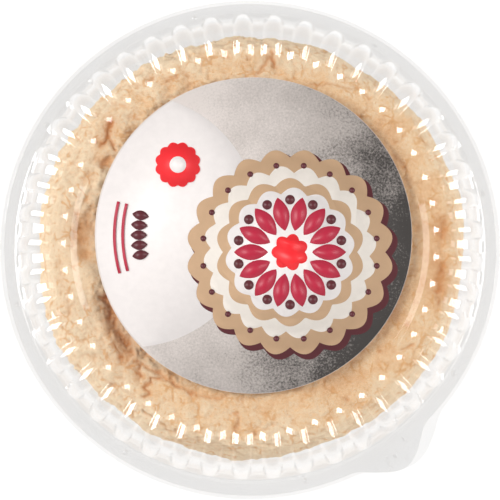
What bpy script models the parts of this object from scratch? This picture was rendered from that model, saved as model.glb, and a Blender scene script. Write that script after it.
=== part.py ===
"""A round plain pavlova base in its shut clear pack, with a paper label on the lid.

Units are metres and +Z is up. The origin is the middle of the pack's underside, so the pack
stands on z = 0. Azimuths are counter-clockwise from +X. The two pull tabs of the pack, one on
the lid and one on the tray, point between +X and -Y.
"""

import math

import bpy
from mathutils import Matrix, noise

MM = 0.001
MERGE_DISTANCE = 0.00001

# The sheet that the lid and the tray are pressed from, and the gap between pieces that touch.
SHEET = 0.5 * MM
GAP = 0.3 * MM

# Rims. The lid's rim lies on the tray's, which is a little wider. Each has a pull tab, given as
# its azimuth, the half of its angle and its length, and the two tabs are a little out of line.
LID_RIM_RADIUS = 102.2 * MM
TRAY_RIM_RADIUS = 103.7 * MM
TRAY_RIM_TOP = 10.0 * MM
LID_TAB = (math.radians(-54.67), math.radians(10.6), 9.0 * MM)
TRAY_TAB = (math.radians(-52.0), math.radians(12.6), 8.6 * MM)

# Lid: an upright wall with a narrow ledge on top, a shoulder, a flat ring, a slope and a flat
# round panel in the middle. From its level top the shoulder's section is a wide arc down to the
# brow, a tight arc from there to the knee and a straight line to its foot.
WALL_FOOT_RADIUS = 97.2 * MM
WALL_TOP_RADIUS = 97.0 * MM
LEDGE_HEIGHT = 25.0 * MM
SHOULDER_FOOT_RADIUS = 94.2 * MM
SHOULDER_FOOT_HEIGHT = 25.3 * MM
SHOULDER_TOP_RADIUS = 80.9 * MM
SHOULDER_ARC = 18.2 * MM
SHOULDER_KNEE_ARC = 3.0 * MM
BROW_TILT = math.radians(30.0)
KNEE_TILT = math.radians(72.0)
RING_HEIGHT = 39.5 * MM
SLOPE_RADIUS = 73.6 * MM
PANEL_RADIUS = 71.0 * MM
PANEL_HEIGHT = 40.0 * MM

# Ribs that stand on the shoulder side by side, each a long dome with round ends. Along its
# crest a rib rises from the ledge, bends over in wider arcs and ends in a low nose.
RIB_COUNT = 45
RIB_PITCH = math.tau / RIB_COUNT
RIB_AZIMUTH = math.radians(3.85)
RIB_WIDTH_SHARE = 0.7
RIB_FOOT_RADIUS = 96.3 * MM
RIB_ARC = 21.3 * MM
RIB_KNEE_ARC = 5.0 * MM
RIB_TOP_HEIGHT = 41.0 * MM
RIB_NOSE_RADIUS = 75.4 * MM
NOSE_STATION = 0.65

# Tray: a sloping wall, a ring that it stands on and a raised floor.
TRAY_WALL_RADIUS = 95.4 * MM
TRAY_WALL_BEND_RADIUS = 92.0 * MM
TRAY_WALL_BEND_HEIGHT = 5.0 * MM
TRAY_FOOT_OUTER_RADIUS = 88.5 * MM
TRAY_FOOT_INNER_RADIUS = 76.0 * MM
TRAY_FLOOR_RADIUS = 74.0 * MM
TRAY_FLOOR_HEIGHT = 1.2 * MM

# Meringue: its outline in heights over its flat underside, from the middle of the top to the
# edge of the underside.
MERINGUE_BASE = TRAY_FLOOR_HEIGHT + SHEET + GAP
MERINGUE_RADIUS = 87.4 * MM
MERINGUE_OUTLINE = (
    (0.00, 30.0 * MM),
    (0.48, 31.0 * MM),
    (0.66, 33.4 * MM),
    (0.78, 34.6 * MM),
    (0.90, 33.8 * MM),
    (0.945, 32.0 * MM),
    (0.97, 27.0 * MM),
    (0.985, 20.0 * MM),
    (0.995, 12.0 * MM),
    (1.00, 6.0 * MM),
    (0.975, 0.0),
    (0.00, 0.0),
)
MERINGUE_LUMP_SIZE = 26.0 * MM
MERINGUE_LUMP_HEIGHT = 2.0 * MM

# Label: a paper disc stuck on the lid's panel, a little off its middle.
LABEL_RADIUS = 65.0 * MM
LABEL_THICKNESS = 0.3 * MM
LABEL_CENTRE = (1.4 * MM, 3.3 * MM)

# Faces round a turn. The lid has three columns of faces to a rib.
LID_COLUMNS = 3 * RIB_COUNT
TRAY_COLUMNS = 90
MERINGUE_COLUMNS = 64
LABEL_COLUMNS = 64


def clear_scene():
    """Remove the objects that the scene opens with."""
    for thing in list(bpy.data.objects):
        bpy.data.objects.remove(thing)


def make_material(name, colour, roughness, alpha=1.0, transmission=0.0):
    """A Principled material with a linear colour."""
    material = bpy.data.materials.new(name)
    material.use_nodes = True
    shader = material.node_tree.nodes["Principled BSDF"]
    shader.inputs["Base Color"].default_value = (*colour, 1.0)
    shader.inputs["Roughness"].default_value = roughness
    shader.inputs["Metallic"].default_value = 0.0
    shader.inputs["Alpha"].default_value = alpha
    shader.inputs["Transmission Weight"].default_value = transmission
    return material


def turn_profile(name, profile, columns, material, collection, first_azimuth=0.0):
    """Turn a profile of (radius, height) pairs about Z.

    The profile starts at the top and runs down the outside, so that the faces point outwards.
    """
    outline = bpy.data.meshes.new(name)
    points = [(radius, 0.0, height) for radius, height in profile]
    links = [(index, index + 1) for index in range(len(points) - 1)]
    outline.from_pydata(points, links, [])
    piece = bpy.data.objects.new(name, outline)
    collection.objects.link(piece)
    screw = piece.modifiers.new("Turn", "SCREW")
    screw.steps = columns
    screw.render_steps = columns
    screw.use_merge_vertices = True
    screw.merge_threshold = MERGE_DISTANCE
    evaluated = piece.evaluated_get(bpy.context.evaluated_depsgraph_get())
    turned = bpy.data.meshes.new_from_object(evaluated)
    turned.transform(Matrix.Rotation(first_azimuth, 4, "Z"))
    piece.modifiers.clear()
    piece.data = turned
    bpy.data.meshes.remove(outline)
    turned.name = name
    turned.materials.clear()
    turned.materials.append(material)
    turned.shade_smooth()
    turned.set_sharp_from_angle(angle=math.radians(40.0))
    return piece


def thicken(piece):
    """Give a pressed sheet its thickness, on the side away from its faces."""
    solidify = piece.modifiers.new("Sheet", "SOLIDIFY")
    solidify.thickness = SHEET
    solidify.offset = -1.0
    solidify.use_even_offset = True


def azimuth_of(point):
    """The azimuth of a point about Z."""
    return math.atan2(point.y, point.x)


def tab_reach(azimuth, tab):
    """How far a rim stands out at an azimuth: a bell with its top at the tab's azimuth."""
    tab_azimuth, half_angle, length = tab
    away = abs((azimuth - tab_azimuth + math.pi) % math.tau - math.pi)
    if away >= half_angle:
        return 0.0
    bell = 0.5 + 0.5 * math.cos(math.pi * away / half_angle)
    return length * bell ** 0.8


def pull_out_tab(piece, rim_radius, tab):
    """Move the outermost vertices of a rim outwards, into a pull tab."""
    for vertex in piece.data.vertices:
        radius = math.hypot(vertex.co.x, vertex.co.y)
        if radius > rim_radius - SHEET:
            stretch = 1.0 + tab_reach(azimuth_of(vertex.co), tab) / radius
            vertex.co.x *= stretch
            vertex.co.y *= stretch


def shoulder(top_height, arc, knee_arc):
    """The shoulder's section from its level top to the knee, as (radius, height) pairs."""
    radius, height = SHOULDER_TOP_RADIUS, top_height
    tilts = (0.0, BROW_TILT / 2.0, BROW_TILT, KNEE_TILT)
    section = [(radius, height)]
    for bend, start, end in zip((arc, arc, knee_arc), tilts, tilts[1:]):
        radius += bend * (math.sin(end) - math.sin(start))
        height -= bend * (math.cos(start) - math.cos(end))
        section.append((radius, height))
    return section


def nose(share):
    """A (radius, height) on a rib's crest inside its top: share 0 is the top, 1 the nose."""
    fall = (RIB_TOP_HEIGHT - RING_HEIGHT) * (1.0 - math.sqrt(1.0 - share * share))
    radius = SHOULDER_TOP_RADIUS + share * (RIB_NOSE_RADIUS - SHOULDER_TOP_RADIUS)
    return radius, RIB_TOP_HEIGHT - fall


def lid_profiles():
    """The lid's outside from the middle of its panel to its rim, between ribs and on a rib.

    Both lists have the same stations, so that a vertex can move from one to the other.
    """
    rim_top = TRAY_RIM_TOP + GAP + SHEET
    inside = [
        (0.0, PANEL_HEIGHT),
        (PANEL_RADIUS, PANEL_HEIGHT),
        (SLOPE_RADIUS, RING_HEIGHT),
        (RIB_NOSE_RADIUS, RING_HEIGHT),
    ]
    outside = [
        (WALL_TOP_RADIUS, LEDGE_HEIGHT),
        (WALL_FOOT_RADIUS, rim_top),
        (LID_RIM_RADIUS, rim_top),
    ]
    valley = [(nose(NOSE_STATION)[0], RING_HEIGHT)]
    valley += shoulder(RING_HEIGHT, SHOULDER_ARC, SHOULDER_KNEE_ARC)
    valley.append((SHOULDER_FOOT_RADIUS, SHOULDER_FOOT_HEIGHT))
    crest = [nose(NOSE_STATION)]
    crest += shoulder(RIB_TOP_HEIGHT, RIB_ARC, RIB_KNEE_ARC)
    crest.append((RIB_FOOT_RADIUS, SHOULDER_FOOT_HEIGHT))
    return inside + valley + outside, inside + crest + outside


def raise_ribs(piece, valley, crest):
    """Move the lid's vertices from the valley profile towards the crest profile, rib by rib."""
    for vertex in piece.data.vertices:
        radius = math.hypot(vertex.co.x, vertex.co.y)
        here = (radius, vertex.co.z)
        station = min(range(len(valley)), key=lambda index: math.dist(valley[index], here))
        turned = azimuth_of(vertex.co) - RIB_AZIMUTH + RIB_PITCH / 2.0
        off_centre = turned % RIB_PITCH - RIB_PITCH / 2.0
        across = off_centre / (RIB_WIDTH_SHARE * RIB_PITCH / 2.0)
        share = max(0.0, 1.0 - across * across)
        if share == 0.0 or radius == 0.0:
            continue
        stretch = 1.0 + share * (crest[station][0] - valley[station][0]) / radius
        vertex.co.x *= stretch
        vertex.co.y *= stretch
        vertex.co.z += share * (crest[station][1] - valley[station][1])


def make_lid(collection, material):
    """The clear lid: a rim with a pull tab, a ribbed dome and a flat panel."""
    valley, crest = lid_profiles()
    lid = turn_profile("lid", valley, LID_COLUMNS, material, collection, RIB_AZIMUTH)
    raise_ribs(lid, valley, crest)
    pull_out_tab(lid, LID_RIM_RADIUS, LID_TAB)
    thicken(lid)
    return lid


def make_tray(collection, material):
    """The clear tray under the meringue, drawn along its underside."""
    rim_underside = TRAY_RIM_TOP - SHEET
    profile = [
        (TRAY_RIM_RADIUS, rim_underside),
        (TRAY_WALL_RADIUS, rim_underside),
        (TRAY_WALL_BEND_RADIUS, TRAY_WALL_BEND_HEIGHT),
        (TRAY_FOOT_OUTER_RADIUS, 0.0),
        (TRAY_FOOT_INNER_RADIUS, 0.0),
        (TRAY_FLOOR_RADIUS, TRAY_FLOOR_HEIGHT),
        (0.0, TRAY_FLOOR_HEIGHT),
    ]
    tray = turn_profile("tray", profile, TRAY_COLUMNS, material, collection)
    pull_out_tab(tray, TRAY_RIM_RADIUS, TRAY_TAB)
    thicken(tray)
    return tray


def make_meringue(collection, material):
    """The baked meringue: a thick disc with an uneven edge and a shallow dip on top."""
    profile = [(share * MERINGUE_RADIUS, height + MERINGUE_BASE) for share, height in MERINGUE_OUTLINE]
    meringue = turn_profile("pavlova", profile, MERINGUE_COLUMNS, material, collection)
    for vertex in meringue.data.vertices:
        height = vertex.co.z - MERINGUE_BASE
        if height <= 0.0:
            continue
        lump = MERINGUE_LUMP_HEIGHT * noise.noise(vertex.co / MERINGUE_LUMP_SIZE)
        radius = math.hypot(vertex.co.x, vertex.co.y)
        outwards = radius / MERINGUE_RADIUS
        if radius > 0.0:
            vertex.co.x *= 1.0 + lump * outwards / radius
            vertex.co.y *= 1.0 + lump * outwards / radius
        vertex.co.z += lump * (1.0 - outwards ** 4)
    return meringue


def make_label(collection, material):
    """The round paper label on top of the lid."""
    middle = PANEL_HEIGHT + GAP + LABEL_THICKNESS / 2.0
    bpy.ops.mesh.primitive_cylinder_add(
        vertices=LABEL_COLUMNS,
        radius=LABEL_RADIUS,
        depth=LABEL_THICKNESS,
        location=(*LABEL_CENTRE, middle),
    )
    label = bpy.context.object
    label.name = "label"
    label.data.name = "label"
    for home in list(label.users_collection):
        home.objects.unlink(label)
    collection.objects.link(label)
    label.data.materials.append(material)
    label.data.shade_smooth()
    label.data.set_sharp_from_angle(angle=math.radians(40.0))
    return label


def main():
    clear_scene()
    collection = bpy.data.collections.new("packed pavlova")
    bpy.context.scene.collection.children.link(collection)
    clear_plastic = make_material("clear plastic", (0.86, 0.88, 0.88), 0.08, 0.4, 0.9)
    baked_meringue = make_material("baked meringue", (0.84, 0.60, 0.36), 0.75)
    label_paper = make_material("label paper", (0.90, 0.87, 0.85), 0.35)
    make_tray(collection, clear_plastic)
    make_meringue(collection, baked_meringue)
    make_lid(collection, clear_plastic)
    make_label(collection, label_paper)


if __name__ == "__main__":
    main()
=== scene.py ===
"""Looks for a round plain pavlova base in its shut clear pack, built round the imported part.

Units are metres and +Z is up. Azimuths are counter-clockwise from +X, in degrees where a table
gives them. Every piece is a surface worked out with numpy and finished with a node material.
"""

import itertools
import math

import bmesh
import bpy
import numpy as np
from mathutils import Matrix, Vector


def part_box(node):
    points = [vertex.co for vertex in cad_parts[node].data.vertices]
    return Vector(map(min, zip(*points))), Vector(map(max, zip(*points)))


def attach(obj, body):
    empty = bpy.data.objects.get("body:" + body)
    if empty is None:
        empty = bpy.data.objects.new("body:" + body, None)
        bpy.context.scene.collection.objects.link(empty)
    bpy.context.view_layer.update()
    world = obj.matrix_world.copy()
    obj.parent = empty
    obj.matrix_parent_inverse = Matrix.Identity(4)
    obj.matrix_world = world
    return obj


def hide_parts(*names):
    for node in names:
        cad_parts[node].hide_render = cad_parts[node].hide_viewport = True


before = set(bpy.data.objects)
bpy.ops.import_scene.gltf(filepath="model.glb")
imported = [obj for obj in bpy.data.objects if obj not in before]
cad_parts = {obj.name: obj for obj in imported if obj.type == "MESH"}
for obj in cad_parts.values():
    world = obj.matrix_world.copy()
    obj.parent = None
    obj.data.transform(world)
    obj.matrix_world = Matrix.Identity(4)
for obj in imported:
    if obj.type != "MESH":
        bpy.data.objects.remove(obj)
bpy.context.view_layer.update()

bl_info = {
    "name": "Packed Pavlova Base",
    "version": (1, 0, 0),
    "blender": (4, 5, 0),
    "location": "View3D > Sidebar > Pavlova",
    "description": "A plain pavlova base in its clear pack with a printed paper label",
    "category": "Add Mesh",
}

MM = 0.001
LID_LOW, LID_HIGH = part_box("lid")
TRAY_LOW, TRAY_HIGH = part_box("tray")
CRUST_LOW, CRUST_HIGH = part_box("pavlova")
LABEL_LOW, LABEL_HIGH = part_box("label")

# The pressed sheet, and how the lid's ribs stand round the shoulder.
SHEET = 0.5 * MM
RIB_COUNT = 45
RIB_PITCH = math.tau / RIB_COUNT
RIB_AZIMUTH = math.radians(3.85)

# Pull tabs of the two rims: azimuth, half of the angle, length.
LID_TAB = (math.radians(-54.67), math.radians(10.6), 9.0 * MM)
TRAY_TAB = (math.radians(-52.0), math.radians(12.6), 8.6 * MM)


# ---------------------------------------------------------------- numbers and noise


def colour(code):
    """A linear RGBA colour from an sRGB hex code."""
    channels = [int(code[index : index + 2], 16) / 255.0 for index in (1, 3, 5)]
    linear = [c / 12.92 if c <= 0.04045 else ((c + 0.055) / 1.055) ** 2.4 for c in channels]
    return (*linear, 1.0)


def smooth_step(low, high, value):
    """0 below low, 1 above high, and the cubic 3t^2 - 2t^3 of the share t in between."""
    share = np.clip((value - low) / (high - low), 0.0, 1.0)
    return share * share * (3.0 - 2.0 * share)


def sector(azimuth, first, last, soft=12.0):
    """1 at azimuths from first to last in degrees, and 0 outside, with soft degrees between."""
    middle = math.radians((first + last) / 2.0)
    half = math.radians((last - first) / 2.0)
    away = np.abs((azimuth - middle + math.pi) % math.tau - math.pi)
    return 1.0 - smooth_step(half - math.radians(soft) / 2, half + math.radians(soft) / 2, away)


def gradient_noise(place, size, seed):
    """Gradient noise from -1 to 1: at each corner of a cubic lattice stands a random slope, and
    the corners' slopes times the offset from them are blended with the quintic fade curve."""
    table = np.random.default_rng(seed).permutation(256)
    slopes = np.array([s for s in itertools.product((-1, 0, 1), repeat=3) if sum(map(abs, s)) == 2])
    scaled = np.asarray(place) / size + 37.0
    cell = np.floor(scaled).astype(int)
    inside = scaled - cell
    fade = inside**3 * (inside * (inside * 6.0 - 15.0) + 10.0)
    total = np.zeros(scaled.shape[:-1])
    for corner in itertools.product((0, 1), repeat=3):
        x, y, z = np.moveaxis(cell + corner, -1, 0)
        hashed = table[(table[(table[x & 255] + y) & 255] + z) & 255]
        reach = np.sum(slopes[hashed % len(slopes)] * (inside - corner), axis=-1)
        weight = np.prod(np.where(corner, fade, 1.0 - fade), axis=-1)
        total += weight * reach
    return total


def octaves(place, size, seed, count=3, ridged=False):
    """Gradient noise summed over count octaves, each half as large and half as strong. A ridged
    sum takes 1 less twice the noise's absolute value, which makes sharp crests."""
    total = np.zeros(np.asarray(place).shape[:-1])
    for octave in range(count):
        layer = gradient_noise(place, size * 0.5**octave, seed + octave)
        total += 0.5**octave * (1.0 - 2.0 * np.abs(layer) if ridged else layer)
    return total


def cells(place, size, seed):
    """How far each point is from the border between cells, and its cell's random level from 0 to
    1: one random point stands in each cube of a lattice, each place belongs to the nearest, and
    the border's distance is taken as that to the second nearest less that to the nearest."""
    table = np.random.default_rng(seed).permutation(256)
    offsets = np.random.default_rng(seed + 1).random((256, 3))
    scaled = np.asarray(place) / size + 61.0
    cell = np.floor(scaled).astype(int)
    nearest = np.full(scaled.shape[:-1], 9.0)
    second = nearest.copy()
    level = np.zeros_like(nearest)
    for corner in itertools.product((-1, 0, 1), repeat=3):
        x, y, z = np.moveaxis(cell + corner, -1, 0)
        hashed = table[(table[(table[x & 255] + y) & 255] + z) & 255]
        away = np.linalg.norm(cell + corner + offsets[hashed] - scaled, axis=-1)
        second = np.minimum(second, np.maximum(nearest, away))
        level = np.where(away < nearest, hashed / 255.0, level)
        nearest = np.minimum(nearest, away)
    return (second - nearest) * size, level


def rounded(points, cuts, steps=4):
    """A polyline with each corner replaced by a quadratic curve that starts and ends a cut before
    and after it, or half of the shorter side where that is less. cuts is one number, or one for
    each corner."""
    points = [np.array(point) for point in points]
    result = [points[0]]
    cuts = np.broadcast_to(cuts, len(points) - 2)
    for before, corner, after, cut in zip(points, points[1:], points[2:], cuts):
        back, ahead = before - corner, after - corner
        reach = min(cut, np.linalg.norm(back) / 2.0, np.linalg.norm(ahead) / 2.0)
        first = corner + back / np.linalg.norm(back) * reach
        last = corner + ahead / np.linalg.norm(ahead) * reach
        for share in np.linspace(0.0, 1.0, steps):
            result.append(
                (1.0 - share) ** 2 * first + 2.0 * share * (1.0 - share) * corner + share**2 * last
            )
    result.append(points[-1])
    return np.array(result)


def line_distance(place, points):
    """The distance in the plane from each point of an array to a polyline of points."""
    nearest = np.full(place.shape[:-1], 9.0)
    for first, last in zip(points[:-1], points[1:]):
        run = last - first
        share = np.clip(((place - first) @ run) / max(run @ run, 1e-12), 0.0, 1.0)
        away = np.linalg.norm(place - first - share[..., None] * run, axis=-1)
        nearest = np.minimum(nearest, away)
    return nearest


def polar(azimuth, radius):
    """The (x, y) point at an azimuth in radians and a radius."""
    return np.stack((radius * np.cos(azimuth), radius * np.sin(azimuth)), axis=-1)


# ---------------------------------------------------------------- meshes


def turned(radius, azimuth, height):
    """Rows and columns of points about Z from arrays of radius, azimuth and height."""
    radius, azimuth, height = np.broadcast_arrays(radius, azimuth, height)
    return np.stack((radius * np.cos(azimuth), radius * np.sin(azimuth), height), axis=-1)


def make_piece(name, patches, material, attributes=None):
    """One object from patches of points, rows by columns, whose columns close on themselves.

    Each four neighbours make a face. A row that has shrunk to a point is welded into a pole.
    attributes are named arrays with one number to a point, kept on the mesh.
    """
    faces, start = [], 0
    for patch in patches:
        index = start + np.arange(patch.shape[0] * patch.shape[1]).reshape(patch.shape[:2])
        beside = np.roll(index, -1, axis=1)
        quads = np.stack((index[:-1], index[1:], beside[1:], beside[:-1]), axis=-1)
        faces.append(quads.reshape(-1, 4))
        start += index.size
    places = np.concatenate([patch.reshape(-1, 3) for patch in patches])
    mesh = bpy.data.meshes.new(name)
    mesh.from_pydata(places, [], np.concatenate(faces))
    for title, values in (attributes or {}).items():
        layer = mesh.attributes.new(title, "FLOAT", "POINT")
        layer.data.foreach_set("value", np.asarray(values, np.float32).ravel())
    return finish_piece(name, mesh, material)


def make_flat(name, outlines, height, thickness, material):
    """One object of flat closed shapes, each an array of (x, y) points run counter-clockwise,
    with its top at a height and a thickness under it."""
    places, faces = [], []
    for outline in outlines:
        faces.append(list(range(len(places), len(places) + len(outline))))
        places.extend((x, y, height) for x, y in outline)
    mesh = bpy.data.meshes.new(name)
    mesh.from_pydata(places, [], faces)
    piece = finish_piece(name, mesh, material)
    thicken(piece, thickness)
    return piece


def finish_piece(name, mesh, material):
    """Weld a mesh's poles, shade it smooth and put it on the part as a piece."""
    welded = bmesh.new()
    welded.from_mesh(mesh)
    bmesh.ops.remove_doubles(welded, verts=welded.verts, dist=0.0005 * MM)
    welded.to_mesh(mesh)
    welded.free()
    mesh.shade_smooth()
    mesh.materials.append(material)
    piece = bpy.data.objects.new(name, mesh)
    bpy.context.scene.collection.objects.link(piece)
    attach(piece, "root")
    return piece


def thicken(piece, thickness):
    """Give a sheet its thickness, on the side away from its faces."""
    solidify = piece.modifiers.new("Sheet", "SOLIDIFY")
    solidify.thickness = thickness
    solidify.offset = -1.0
    solidify.use_even_offset = True


def tab_reach(azimuth, tab):
    """How far a rim stands out: a raised cosine of the azimuth to the power 0.8."""
    tab_azimuth, half_angle, length = tab
    away = np.abs((azimuth - tab_azimuth + math.pi) % math.tau - math.pi)
    bell = np.where(away < half_angle, 0.5 + 0.5 * np.cos(math.pi * away / half_angle), 0.0)
    return length * bell**0.8


# ---------------------------------------------------------------- materials


def add_node(tree, kind, values=None, links=None, ramp=None, **settings):
    """Add a node: values go on its sockets, links join outputs to its sockets, ramp holds the
    (position, colour) stops of a colour ramp and settings are its properties."""
    node = tree.nodes.new(kind)
    for title, value in settings.items():
        setattr(node, title, value)
    for socket, value in (values or {}).items():
        node.inputs[socket].default_value = value
    for socket, source in (links or {}).items():
        tree.links.new(source, node.inputs[socket])
    if ramp:
        stops = node.color_ramp.elements
        while len(stops) < len(ramp):
            stops.new(1.0)
        for stop, (position, shade) in zip(stops, ramp):
            stop.position = position
            stop.color = shade
    return node


def start_material(name):
    """An empty node material and its tree."""
    material = bpy.data.materials.new(name)
    material.use_nodes = True
    material.node_tree.nodes.clear()
    return material, material.node_tree


def pressed_clear_pet(settings):
    """Clear PET sheet, vacuum-pressed: see-through and glossy on both sides.

    Each face mirrors about 5% straight on and more at a slant, by Schlick's formula on the
    facing angle with a lower power for the haze of a pressed sheet, and lets the rest through
    with a trace of grey, so flat parts look clear and flanks show as pale lines.
    """
    material, tree = start_material("pressed clear PET")
    facing = add_node(tree, "ShaderNodeLayerWeight", {"Blend": 0.5})
    steep = add_node(
        tree, "ShaderNodeMath", {1: 4.5}, {0: facing.outputs["Facing"]}, operation="POWER"
    )
    mirror = add_node(
        tree,
        "ShaderNodeMath",
        {1: 1.0 - settings.reflectance, 2: settings.reflectance},
        {0: steep.outputs[0]},
        operation="MULTIPLY_ADD",
    )
    through = add_node(tree, "ShaderNodeBsdfTransparent", {"Color": tuple(settings.tint)})
    gloss = add_node(
        tree,
        "ShaderNodeBsdfGlossy",
        {"Color": (1.0, 1.0, 1.0, 1.0), "Roughness": settings.roughness},
    )
    mixed = add_node(
        tree,
        "ShaderNodeMixShader",
        None,
        {0: mirror.outputs[0], 1: through.outputs[0], 2: gloss.outputs[0]},
    )
    add_node(tree, "ShaderNodeOutputMaterial", None, {"Surface": mixed.outputs[0]})
    return material


def baked_meringue(settings):
    """Meringue baked in a slow oven: a dry matt crust from pale to tan, with a fine sugary grain of
    about half a millimetre, hair cracks between scales of about 5 mm and amber specks of browned
    sugar. Random blotches and the tone attribute set the shade from pale to tan; the tone holds
    painted light and shade, paler to the west and on the steep outer side, tanner to the east and
    in hollows. The hollow attribute mixes in orange-brown: browned sugar in cracks and painted
    shade in hollows, creases and sunk places."""
    material, tree = start_material("baked meringue crust")
    place = add_node(tree, "ShaderNodeTexCoord").outputs["Object"]
    tone = add_node(tree, "ShaderNodeAttribute", attribute_name="tone").outputs["Fac"]
    hollow = add_node(tree, "ShaderNodeAttribute", attribute_name="hollow").outputs["Fac"]

    def noise(size, detail, roughness=0.5):
        values = {"Scale": 1 / (size * MM), "Detail": detail, "Roughness": roughness}
        return add_node(tree, "ShaderNodeTexNoise", values, {"Vector": place})

    def scaled_sum(source, factor, plus):
        links = {0: source, 2: plus} if plus else {0: source}
        node = add_node(tree, "ShaderNodeMath", {1: factor}, links, operation="MULTIPLY_ADD")
        if not plus:
            node.inputs[2].default_value = 0.0
        return node.outputs[0]

    def between(source, low, high, strength):
        ends = {"From Min": low, "From Max": high, "To Max": strength}
        node = add_node(tree, "ShaderNodeMapRange", ends, {"Value": source})
        node.interpolation_type = "SMOOTHSTEP"
        return node.outputs["Result"]

    blotch, mottle, grain = noise(9.0, 4.0), noise(1.7, 5.0, 0.7), noise(0.6, 2.0)
    patches, specks = noise(6.0, 3.0), noise(0.9, 2.0)
    uneven = scaled_sum(grain.outputs["Fac"], 0.45, scaled_sum(mottle.outputs["Fac"], 1.2, None))
    # The tone attribute carries painted light and shade: paler to the west and on the steep outer side,
    # tanner to the east and in hollows.
    shade = scaled_sum(blotch.outputs["Fac"], 1.3, tone)
    shade = add_node(tree, "ShaderNodeMath", None, {0: shade, 1: uneven}, operation="ADD")
    level = add_node(tree, "ShaderNodeMath", {1: 1.8}, {0: shade.outputs[0]}, operation="SUBTRACT")
    crust = add_node(
        tree,
        "ShaderNodeValToRGB",
        None,
        {"Fac": level.outputs[0]},
        ramp=[
            (0.0, tuple(settings.pale)),
            (0.45, tuple(settings.middle)),
            (1.0, tuple(settings.tan)),
        ],
    )

    bent = add_node(
        tree,
        "ShaderNodeMixRGB",
        {"Fac": 1.2 * MM},
        {"Color1": place, "Color2": mottle.outputs["Color"]},
        blend_type="LINEAR_LIGHT",
    )
    scales = add_node(
        tree,
        "ShaderNodeTexVoronoi",
        {"Scale": 1 / (5.0 * MM)},
        {"Vector": bent.outputs["Color"]},
        feature="DISTANCE_TO_EDGE",
    )
    hair = between(scales.outputs["Distance"], 0.11, 0.02, 1.0)
    in_patch = between(patches.outputs["Fac"], 0.48, 0.62, 0.6)
    crack = add_node(tree, "ShaderNodeMath", None, {0: hair, 1: in_patch}, operation="MULTIPLY")
    speck = between(specks.outputs["Fac"], 0.60, 0.76, 0.7)
    marks = add_node(tree, "ShaderNodeMath", None, {0: crack.outputs[0], 1: speck}, operation="MAXIMUM")
    speckled = add_node(
        tree,
        "ShaderNodeMixRGB",
        {"Color2": tuple(settings.amber)},
        {"Fac": marks.outputs[0], "Color1": crust.outputs["Color"]},
    )
    # Painted shade: the hollow attribute mixes in the orange-brown, browned sugar in cracks and painted
    # shade in hollows, creases and sunk places.
    toasted_and_shade = add_node(
        tree,
        "ShaderNodeMixRGB",
        {"Color2": tuple(settings.toasted_and_shade)},
        {"Fac": hollow, "Color1": speckled.outputs["Color"]},
    )

    bumps = scaled_sum(mottle.outputs["Fac"], 2.0, grain.outputs["Fac"])
    bumps = scaled_sum(crack.outputs[0], -0.6, bumps)
    relief = add_node(
        tree, "ShaderNodeBump", {"Strength": 0.8, "Distance": 0.3 * MM}, {"Height": bumps}
    )
    surface = add_node(
        tree,
        "ShaderNodeBsdfPrincipled",
        {"Roughness": 0.8, "IOR": 1.45, "Specular IOR Level": 0.25},
        {"Base Color": toasted_and_shade.outputs["Color"], "Normal": relief.outputs["Normal"]},
    )
    add_node(tree, "ShaderNodeOutputMaterial", None, {"Surface": surface.outputs[0]})
    return material


def stone_print(settings):
    """Coated paper with a printed stone ground: a grey that darkens towards one side, with pale
    and dark specks of half a millimetre to two, under a satin varnish."""
    material, tree = start_material("satin paper printed as stone")
    place = add_node(tree, "ShaderNodeTexCoord").outputs["Object"]
    ahead = add_node(
        tree,
        "ShaderNodeMapping",
        {
            "Location": (-0.33, 0.0, 0.0),
            "Rotation": (0.0, 0.0, math.radians(20.0)),
            "Scale": (9.0, 9.0, 9.0),
        },
        {"Vector": place},
    )
    across = add_node(tree, "ShaderNodeSeparateXYZ", None, {"Vector": ahead.outputs[0]})
    cloud = add_node(
        tree, "ShaderNodeTexNoise", {"Scale": 1 / (14 * MM), "Detail": 6.0}, {"Vector": place}
    )
    specks = add_node(
        tree,
        "ShaderNodeTexNoise",
        {"Scale": 1 / (0.9 * MM), "Detail": 3.0, "Roughness": 0.8},
        {"Vector": place},
    )
    spread = add_node(
        tree,
        "ShaderNodeMath",
        {1: 0.5},
        {0: cloud.outputs["Fac"], 2: across.outputs["X"]},
        operation="MULTIPLY_ADD",
    )
    ground = add_node(
        tree,
        "ShaderNodeMath",
        {1: 0.9},
        {0: specks.outputs["Fac"], 2: spread.outputs[0]},
        operation="MULTIPLY_ADD",
    )
    paint = add_node(
        tree,
        "ShaderNodeValToRGB",
        None,
        {"Fac": ground.outputs[0]},
        ramp=[
            (0.0, tuple(settings.stone_pale)),
            (0.5, tuple(settings.stone_middle)),
            (0.82, tuple(settings.stone_dark)),
        ],
    )
    surface = add_node(
        tree,
        "ShaderNodeBsdfPrincipled",
        {"Roughness": 0.42, "IOR": 1.5},
        {"Base Color": paint.outputs["Color"]},
    )
    add_node(tree, "ShaderNodeOutputMaterial", None, {"Surface": surface.outputs[0]})
    return material


def printed_paper(name, ink, uneven=0.06):
    """Coated paper with a flat ink under a satin varnish, as offset print gives: even, with a
    faint unevenness of the ink at the scale of a few millimetres."""
    material, tree = start_material(name)
    place = add_node(tree, "ShaderNodeTexCoord").outputs["Object"]
    cloud = add_node(
        tree, "ShaderNodeTexNoise", {"Scale": 1 / (3 * MM), "Detail": 4.0}, {"Vector": place}
    )
    shade = add_node(
        tree,
        "ShaderNodeHueSaturation",
        {"Color": tuple(ink), "Saturation": 1.0},
        {"Value": add_node(
            tree,
            "ShaderNodeMath",
            {1: 2.0 * uneven, 2: 1.0 - uneven},
            {0: cloud.outputs["Fac"]},
            operation="MULTIPLY_ADD",
        ).outputs[0]},
    )
    surface = add_node(
        tree,
        "ShaderNodeBsdfPrincipled",
        {"Roughness": 0.42, "IOR": 1.5},
        {"Base Color": shade.outputs["Color"]},
    )
    add_node(tree, "ShaderNodeOutputMaterial", None, {"Surface": surface.outputs[0]})
    return material


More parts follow.
